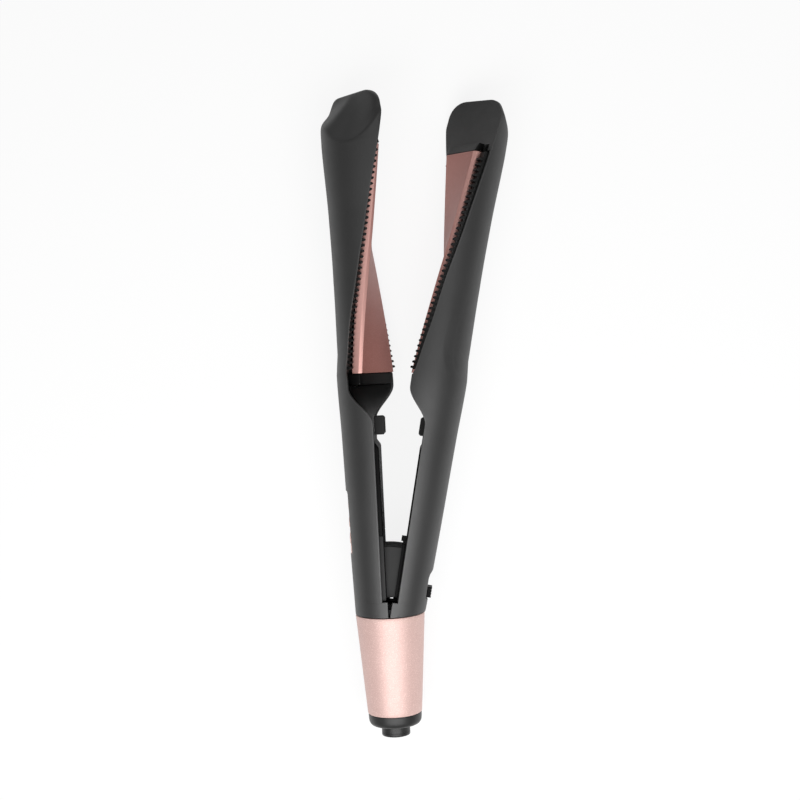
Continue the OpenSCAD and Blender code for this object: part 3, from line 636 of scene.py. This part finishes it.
def shell(side):
    rings = [shell_ring(s, SEAM) for s in (SEAM, SEAM + 0.3, SEAM + 0.8, RING_HEIGHT - 2.4,
                                           RING_HEIGHT - 0.02)]
    foot_rows = len(rings)
    rings += [shell_ring(s, GRIP_SETBACK) for s in (RING_HEIGHT + 0.03, RING_HEIGHT + 0.5)]
    marks = [10, TWIST_FROM, STEP_END + 3, DIP_START, DIP_LOW, NOSE_START]
    for a, b, n in zip(marks, marks[1:], (36, 40, 12, 24, 110)):
        rings += [shell_ring(s, setback(s)) for s in np.linspace(a, b, n, endpoint=False)]
    rings = np.array(rings)
    if side == "right":  # the foot is level with the tail while the arm stands open
        foot = rings[:foot_rows]
        level = (SEAM - foot[..., 0] * math.sin(SWING)) / math.cos(SWING)
        foot[..., 1] = np.maximum(foot[..., 1], level)
    tip = [tip_ring(np.full(len(rays), NOSE_START))]
    tip += [tip_ring(mix(NOSE_START, crease, k)) for k in np.linspace(0.1, 1, 14)]
    tip += [tip_ring(mix(crease, ARM_LENGTH, smooth(k) * 0.4 + k * 0.6))
            for k in np.linspace(0.02, 1, 70)]
    rings = np.concatenate([rings, softened(np.array(tip))])
    rows, cols = rings.shape[:2]
    faces = grid_faces(rows, cols, closed=False) + strip_ends(rows, cols)
    name = side + "_outer_shell"
    obj = piece(name + "_skin", placed(rings, side), faces, shell_mat, side + "_arm", [name],
                "graphite_shell", 40)
    # The rim is the outer half of each edge, and the inner side starts past the tip's edges.
    # The rim is painted paler, as a highlight.
    highlight_rim = np.zeros(cols)
    highlight_rim[len(rays) - 1:len(rays) + 4] = highlight_rim[-5:] = highlight_rim[0] = 1
    mark(obj, "rim", np.tile(highlight_rim, rows))
    # The inner side of the tongue is painted darker, as shade.
    flat = np.zeros((rows, cols))
    flat[-len(tip):, len(rays) + 6:-6] = 1
    mark(obj, "inner", flat)
    if side == "right":
        tools = lock_tools()
    else:
        tools = [prism(rounded_box(PANEL_START, PANEL_END, PANEL_WIDTH / 2, PANEL_CORNER),
                       -25, -10)]
    carve(obj, pocket_tools(side) + tools, 40)


shell("left")
shell("right")


# Heating plates: a channel with bevelled edges.
def plate_ring(s, drop):
    h, k, f = PLATE_HALF, PLATE_WALL, PLATE_FLAT / 2
    corners = [(-PLATE_HEIGHT, -h), (-PLATE_BEVEL - 0.1, -h), (-0.1 - drop, -f), (-0.1 - drop, f),
               (-PLATE_BEVEL - 0.1, h), (-PLATE_HEIGHT, h), (-PLATE_HEIGHT, h - k),
               (-PLATE_BEVEL - k, h - k), (-0.1 - k, f - k), (-0.1 - k, -f + k),
               (-PLATE_BEVEL - k, -h + k), (-PLATE_HEIGHT, -h + k)]
    return box_ring(s, corners, [0.2] * len(corners), PLATE_COUNTS)


def plate(side):
    lip = [(0, 0.2), (0.06, 0.06), (0.2, 0)]
    rings = [plate_ring(PLATE_START + d, drop) for d, drop in lip]
    rings += [plate_ring(s, 0) for s in np.linspace(PLATE_START + 0.5, PLATE_END - 0.5, 170)]
    rings += [plate_ring(PLATE_END - d, drop) for d, drop in reversed(lip)]
    name = side + "_heating_plate"
    obj = loft(name + "_face", rings, side, plate_mat, side + "_plate", [name], "rose_plate", 24)
    # The rim, painted paler as a highlight, is all but the flat face, which is the third side.
    start = sum(PLATE_COUNTS[:2]) + 2 * (CORNER_STEPS - 1)
    highlight_rim = np.ones(len(rings[0]))
    highlight_rim[start:start + PLATE_COUNTS[2]] = 0
    mark(obj, "rim", np.tile(highlight_rim, len(rings)))


# Carriers, with a bar at each end of the plate.
def carrier(side):
    inner, outer = PLATE_HALF + 0.2, PLATE_HALF - 0.8

    def bar(s, trim=0.0, top=BAR_TOP, foot=CARRIER_FOOT):
        return box_ring(s, [(-foot, -outer), (-foot, CARRIER_HALF), (-top - trim, inner - trim),
                            (-top - trim, -outer + trim)], [0.2, 0.2, 0.45, 0.45])

    def middle(s):
        return box_ring(s, [(-CARRIER_FOOT, -CARRIER_HALF), (-CARRIER_FOOT, CARRIER_HALF),
                            (-CARRIER_TOP, CARRIER_WIDE), (-CARRIER_TOP, -CARRIER_WIDE)],
                        [0.2, 0.2, 0.1, 0.1])

    lip = [(0, 0.4), (0.12, 0.12), (0.4, 0)]
    rings = [bar(BAR_LOW + d, t) for d, t in lip]
    rings += [bar(s) for s in np.linspace(BAR_LOW + 1, PLATE_START - 0.9, 8)]
    rings += [bar(PLATE_START - BAR_GAP - d, t) for d, t in reversed(lip)]
    rings += [middle(s) for s in np.linspace(PLATE_START - 0.25, PLATE_END + 0.25, 120)]
    rings += [bar(PLATE_END + BAR_GAP, 0.1), bar(PLATE_END + 0.38)]
    ramp_start = NOSE_START - 0.1
    rings += [bar(s, 0, BAR_TOP + (s - ramp_start) * 0.4, BARREL_SETBACK - 0.05)
              for s in np.linspace(ramp_start, PLATE_END + 4, 12)]
    loft(side + "_carrier_bars", rings, side, bar_mat, side + "_arm", [side + "_carrier"],
         "black_polymer", 35)


def comb_out(s, u):
    """Width of the space inside a shell, at depth u."""
    low = barrel(s) - DIP_DEPTH * dip(s) - wall(s) - SHELL_PLAY
    return np.sqrt(low ** 2 - u ** 2)


def comb(side, way, word):
    """A strip of rounded teeth along one edge of a plate."""
    teeth = math.floor((PLATE_LENGTH - 2) / COMB_PITCH)
    start = PLATE_START + (PLATE_LENGTH - teeth * COMB_PITCH) / 2
    lean = PLATE_FLOAT * math.sin(math.radians(PLATE_LENGTH * TWIST_RATE / 2))
    edge_in = PLATE_HALF + COMB_GAP + lean
    foot = CARRIER_TOP - 0.05
    width = COMB_PITCH * TOOTH_SHARE
    rows = [(start - 0.4, 0.0)]
    for i in range(teeth):
        y = start + i * COMB_PITCH
        rows.append((y - 0.02, 0.0))
        for t in (0.01, 0.05, 0.12, 0.22, 0.36, 0.5, 0.64, 0.78, 0.88, 0.95, 0.99):
            height = (1 - abs(2 * t - 1) ** TOOTH_POWER) ** (1 / TOOTH_POWER)
            rows.append((y + width * t, TOOTH_HEIGHT * height))
        rows.append((y + width + 0.02, 0.0))
    rows.append((PLATE_END - 0.3, 0.0))
    rings = []
    for s, h in rows:
        rim = float(setback(s)) if way > 0 else BARREL_SETBACK
        top = (rim - 0.05 if way > 0 else rim - COMB_RISE) - h
        a, b = comb_out(s, rim), comb_out(s, foot)
        corners = [(-top, edge_in * way), (-foot, edge_in * way), (-foot, b * way), (-top, a * way)]
        rings.append(box_ring(s, corners, [0.5, 0.1, 0.1, 0.5], (3, 3, 3, 6)))
    loft(side + "_" + word + "_teeth", rings, side, satin_mat, side + "_arm",
         [side + "_" + word + "_comb"], "black_polymer", 50)


# Inner covers, with a counterbore for each screw.
def cover(side, grip, dent):
    """A cover at the depth grip, and at the depth dent behind the guide blocks."""
    depth = curve([(0, grip), (BLOCK_START - 6, grip), (BLOCK_START - 2.5, dent),
                   (COVER_END, 4.2)])
    rings = []
    for s in np.linspace(COVER_START, COVER_END, 150):
        near, far = float(depth(s)), float(depth(s)) + COVER_WALL
        w = math.sqrt((barrel(s) - wall(s) - SHELL_PLAY) ** 2 - far ** 2)
        rings.append(box_ring(s, [(-far, -w), (-far, w), (-near, w), (-near, -w)],
                              [0.3, 0.3, 0.6, 0.6]))
    obj = loft(side + "_inner_cover_panel", rings, side, black_mat, side + "_arm",
               [side + "_inner_cover"], "black_polymer", 40)
    tools = []
    for y in SCREWS:
        tools.append(prism(disc(y, 0, HEAD_R), -grip - 1.3, 0.5, side))
        tools.append(prism(disc(y, 0, SCREW_R), -grip - 4, 0.5, side))
    carve(obj, tools, 40)


for arm in ("left", "right"):
    plate(arm)
    carrier(arm)
    comb(arm, 1, "near" if arm == "left" else "far")
    comb(arm, -1, "far" if arm == "left" else "near")
cover("left", 0.9, 2.7)
cover("right", 2.2, 3.5)

# Control panel and its keys, on the left arm's outer side: each key's place, radius and body.
keys = {"minus_button": (35.0, KEY_R, "minus_key"), "plus_button": (42.5, KEY_R, "plus_key"),
        "power_button": (51.0, POWER_R, "power_key")}
face = math.sqrt(float(barrel((PANEL_START + PANEL_END) / 2)) ** 2 - (PANEL_WIDTH / 2) ** 2)
levels = [(-face + low, rounded_box(PANEL_START + trim, PANEL_END - trim, PANEL_WIDTH / 2 - trim,
                                    PANEL_CORNER - trim))
          for low, trim in ((0, 0.45), (0.06, 0.25), (0.25, 0.12), (0.5, 0.1), (1.6, 0.1))]
panel = piece("control_panel_plate", *stack(levels), rose_mat, "left_arm", ["control_panel"],
              "rose_coating", 30)
holes = [prism(disc(y, 0, r + KEY_PLAY, 96), -30, 0) for y, r, _ in keys.values()]
carve(panel, holes + [prism(disc(LENS_AT, 0, LENS_R), -30, 0)], 30)


def power_sign(y):
    """An open ring and a bar in its gap."""
    t = np.radians(np.linspace(40, 320, 40))
    arc = [(y + q * np.cos(w), q * np.sin(w)) for q, row in ((1.35, t), (1.03, t[::-1]))
           for w in row]
    bar = [(y + 0.55, -0.16), (y + 1.75, -0.16), (y + 1.75, 0.16), (y + 0.55, 0.16)]
    return [np.array(arc), np.array(bar)]


def key(name, y, r, body):
    """A key with a flange below the panel, a dished top and its sign."""
    top, root = face + KEY_RISE, face - 1.6
    shape = [(root - 1.3, 1.2), (root - 0.75, 1.2), (root - 0.74, r + 0.8), (root - 0.1, r + 0.8),
             (root - 0.05, r), (top - 0.3, r), (top - 0.1, r - 0.06), (top - 0.02, r - 0.2),
             (top, r - 0.4), (top - 0.04, r * 0.7), (top - 0.14, r * 0.4), (top - 0.18, 0.02)]
    points, faces = stack([(-x, disc(y, 0, q, 96)) for x, q in shape])
    piece(name + "_cap", points, faces, rose_mat, body, [name], "rose_coating", 30)
    bar = np.array([(-0.2, -1.0), (0.2, -1.0), (0.2, 1.0), (-0.2, 1.0)])
    signs = {"minus_button": [bar + (y, 0)],
             "plus_button": [bar + (y, 0), bar[:, ::-1] + (y, 0)],
             "power_button": power_sign(y)}
    for i, outline in enumerate(signs[name]):
        points, faces = prism(outline, -top + 0.2, -top - 0.03)
        piece(name + "_sign_" + str(i), points, faces, sign_mat, body, (), None, 30)


for key_name, places in keys.items():
    key(key_name, *places)


# Tail: sleeve, end cap and swivel collar, as (radius, y) profiles.
def rim(r, y):
    """The sleeve's outer radius at y, less r."""
    return ROOT_R + (ROOT_R - TAIL_END_R) / TAIL * y - r


sleeve = [(rim(0.3, -TAIL), -TAIL), (rim(0.1, -TAIL), -TAIL + 0.08), (rim(0, -TAIL), -TAIL + 0.3)]
sleeve += [(rim(0, y), y) for y in np.linspace(-TAIL + 2, -2, 10)]
sleeve += [(rim(0, -0.4), -0.4), (rim(0.1, -0.18), -0.18), (rim(0.3, -0.1), -0.1)]
sleeve += [(rim(TAIL_WALL, y), y) for y in (-0.1, -1, -TAIL + 1, -TAIL)]
lathe("tail_sleeve_cone", sleeve, rose_mat, "left_arm", ["tail_sleeve"], "rose_coating", 192, 32)

cap_r, cap_top = TAIL_END_R - 0.2, -TAIL - 0.1
plug, bore = TAIL_END_R - TAIL_WALL - 0.1, COLLAR_R - 0.95
dome = curve([(0, 0), (CAP * 0.35, 0.05), (CAP * 0.6, 0.2), (CAP * 0.82, 0.75), (CAP * 0.94, 1.6),
              (CAP - 0.1, 2.6)])
cap = [(bore, cap_top + 4.4), (plug, cap_top + 4.4), (plug, cap_top), (cap_r - 0.35, cap_top),
       (cap_r - 0.1, cap_top - 0.08)]
cap += [(cap_r - float(dome(h)), cap_top - h) for h in np.linspace(0.25, CAP - 0.1, 28)]
cap += [(bore + 1.3, cap_top - CAP + 0.1), (bore + 0.9, cap_top - CAP + 0.3),
        (bore, cap_top - CAP + 0.35)]
lathe("end_cap_dome", cap, dark_mat, "left_arm", ["end_cap"], "graphite_shell", 160)

foot = -TAIL - CAP
end = foot - COLLAR
collar = [(CORD_R, end + CORD_DEPTH), (CORD_R, end + 0.3), (CORD_R + 0.3, end),
          (COLLAR_R - 0.5, end), (COLLAR_R - 0.15, end + 0.12), (COLLAR_R, end + 0.45),
          (COLLAR_R, end + 1.4), (COLLAR_R - 0.12, end + 1.5), (COLLAR_R - 0.12, end + 1.75),
          (COLLAR_R, end + 1.85), (COLLAR_R, foot - 0.3), (COLLAR_R - 0.2, foot - 0.1),
          (COLLAR_R - 1, foot - 0.1), (COLLAR_R - 1, -TAIL + 4.85), (COLLAR_R + 0.8, -TAIL + 4.9),
          (COLLAR_R + 0.8, -TAIL + 6.4), (LEADS_R, -TAIL + 6.4), (LEADS_R, end + CORD_DEPTH)]
lathe("swivel_collar_body", collar, dark_mat, "cord_swivel", ["swivel_collar"], "black_polymer",
      128)

# Materials of the CAD nodes that stay. The first word that a node's name holds decides.
by_word = [("cover_screws", steel_mat), ("inner_cover", black_mat), ("guide_block", satin_mat),
           ("carrier", bar_mat), ("comb", satin_mat), ("heater_leads", fibre_mat),
           ("heater", ceramic_mat), ("stop_pads", silicone_mat), ("hinge_web", satin_mat),
           ("slot_frame", black_mat), ("frame", black_mat), ("hinge_pin", steel_mat),
           ("spring", steel_mat), ("panel", rose_mat), ("button", rose_mat), ("lens", lens_mat),
           ("switches", black_mat), ("board", board_mat), ("spine", black_mat),
           ("lock", black_mat), ("tail_sleeve", rose_mat), ("end_cap", dark_mat),
           ("collar", dark_mat), ("contact", brass_mat)]
bevelled = ("guide_block", "hinge_web", "slot_frame", "lock_slider")
for name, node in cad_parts.items():
    if node.hide_render:
        continue
    chosen = next(m for word, m in by_word if word in name)
    node.data.materials.clear()
    node.data.materials.append(chosen)
    if any(word in name for word in bevelled):
        node.modifiers.new("weld", "WELD").merge_threshold = 1e-6
        step = node.modifiers.new("bevel", "BEVEL")
        step.width, step.segments = 0.0003, 3
        step.limit_method, step.angle_limit = "ANGLE", math.radians(40)

# Stage and light, in metres and watts. The camera sees the floor as partly glowing, and the world
# as white, while their light on the object stays low.
FLOOR_HALF, FLOOR_Z, FLOOR_GLOW = 6.0, -0.0002, 0.86
WORLD_LIGHT = 0.28

floor_mesh = bpy.data.meshes.new("floor")
floor_corners = [(x * FLOOR_HALF, y * FLOOR_HALF, FLOOR_Z)
                 for x, y in ((-1, -1), (1, -1), (1, 1), (-1, 1))]
floor_mesh.from_pydata(floor_corners, [], [(0, 1, 2, 3)])
floor = new_object("floor", floor_mesh)
f = material("floor_white")
f.finish(Base_Color=(0.9, 0.9, 0.9, 1), Roughness=0.9, Specular_IOR_Level=0.0)
glow = f.add("ShaderNodeEmission")
camera_ray = f.add("ShaderNodeLightPath").outputs["Is Camera Ray"]
mixer = f.add("ShaderNodeMixShader")
f.put(mixer.inputs[0], f.math("MULTIPLY", camera_ray, FLOOR_GLOW))
f.put(mixer.inputs[1], f.shader.outputs[0])
f.put(mixer.inputs[2], glow.outputs[0])
f.put(f.tree.nodes["Material Output"].inputs["Surface"], mixer.outputs[0])
floor_mesh.materials.append(f.owner)

world = bpy.data.worlds.new("world")
bpy.context.scene.world = world
sky = Nodes(world, "Background")
seen_by = sky.add("ShaderNodeLightPath").outputs
white = sky.math("ADD", seen_by["Is Camera Ray"], seen_by["Is Transmission Ray"], clamp=True)
sky.finish(Color=(1, 1, 1, 1), Strength=sky.span(white, WORLD_LIGHT, 1.0))


def lamp(name, at, size, power):
    """A rectangular lamp that faces the part."""
    data = bpy.data.lights.new(name, "AREA")
    data.shape, data.energy = "RECTANGLE", power
    data.size, data.size_y = size
    obj = new_object(name, data)
    obj.location = at
    obj.rotation_euler = (Vector() - Vector(at)).to_track_quat("-Z", "Y").to_euler()


lamp("key", (0, -0.24, 0.45), (0.66, 0.28), 3.25)
lamp("fill", (0.6, 0.5, 1.0), (0.8, 0.8), 1.5)
